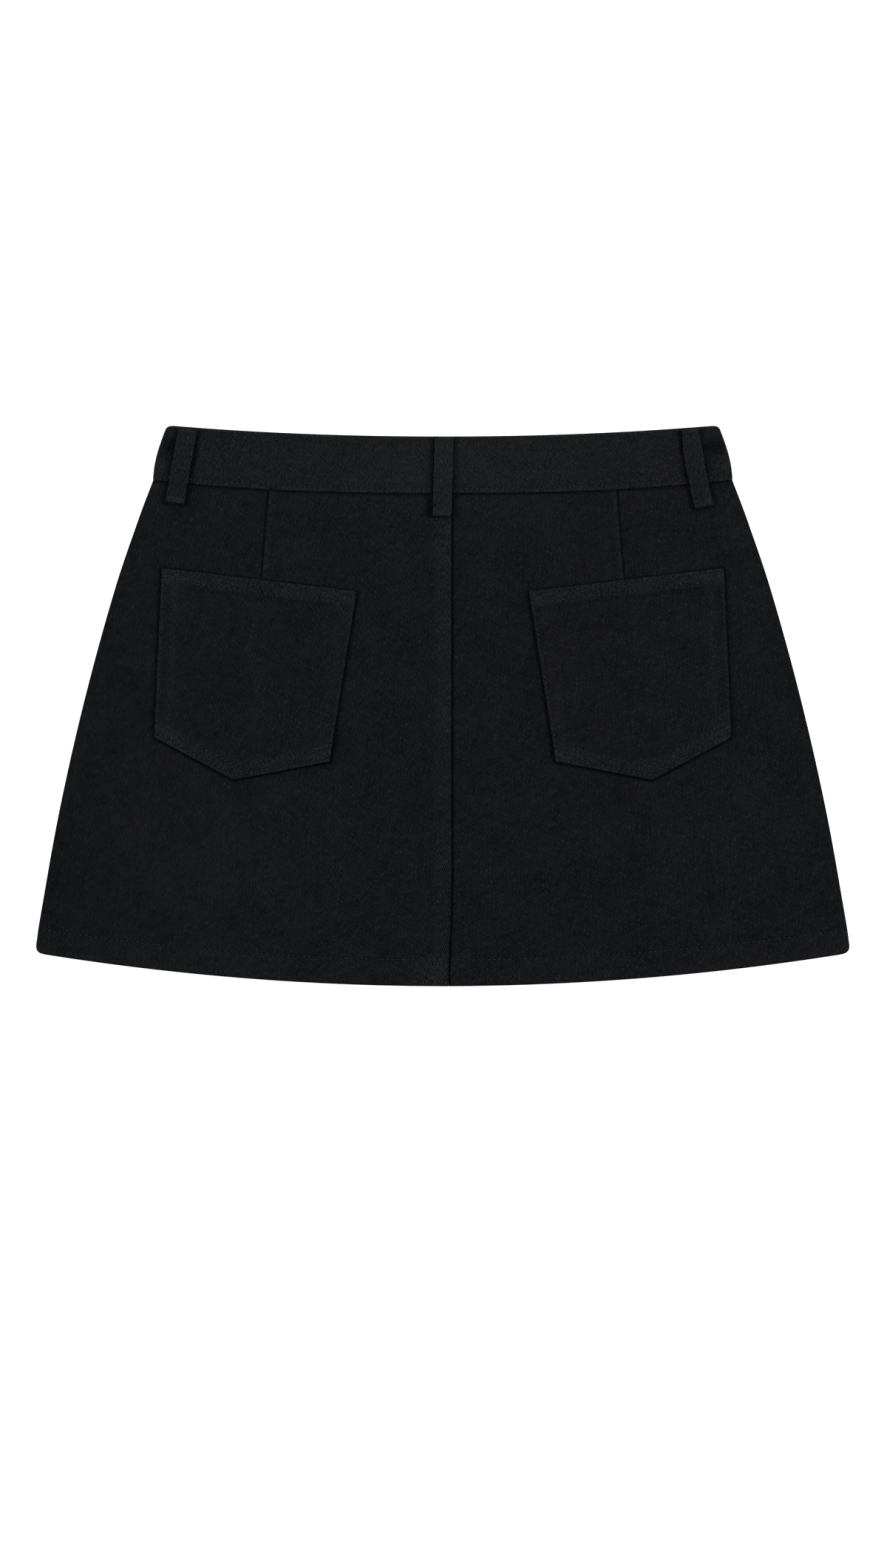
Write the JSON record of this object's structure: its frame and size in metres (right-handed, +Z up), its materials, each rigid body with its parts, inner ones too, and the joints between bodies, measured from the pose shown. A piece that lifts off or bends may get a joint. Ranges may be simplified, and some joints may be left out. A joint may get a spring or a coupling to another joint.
{
  "type": "denim mini skirt",
  "caption": "Black denim mini skirt laid flat on its front, with a waistband, belt loops, back pockets, a fly zip and a waist button.",
  "frame": {"origin": "middle of the skirt's outline, on the surface it lies on", "axes": "+X to the viewer's right across the skirt, +Y towards the waist, +Z up off the surface; the back of the skirt faces +Z"},
  "size_m": [0.5492, 0.3784, 0.0114],
  "materials": {
    "denim": "matt black right-hand twill denim",
    "button_metal": "dark satin metal",
    "zip_tape": "black woven tape"
  },
  "bodies": {
    "root": {"back_panel_left": "denim", "back_panel_right": "denim", "front_panel_left": "denim", "front_panel_right": "denim", "waistband_back": "denim", "waistband_front_left": "denim", "waistband_front_right": "denim", "back_pocket_left": "denim", "back_pocket_right": "denim", "belt_loop_back_left": "denim", "belt_loop_back_centre": "denim", "belt_loop_back_right": "denim", "belt_loop_front_left": "denim", "belt_loop_front_right": "denim", "waist_button": "button_metal", "fly_zip": "zip_tape"}
  },
  "joints": []
}
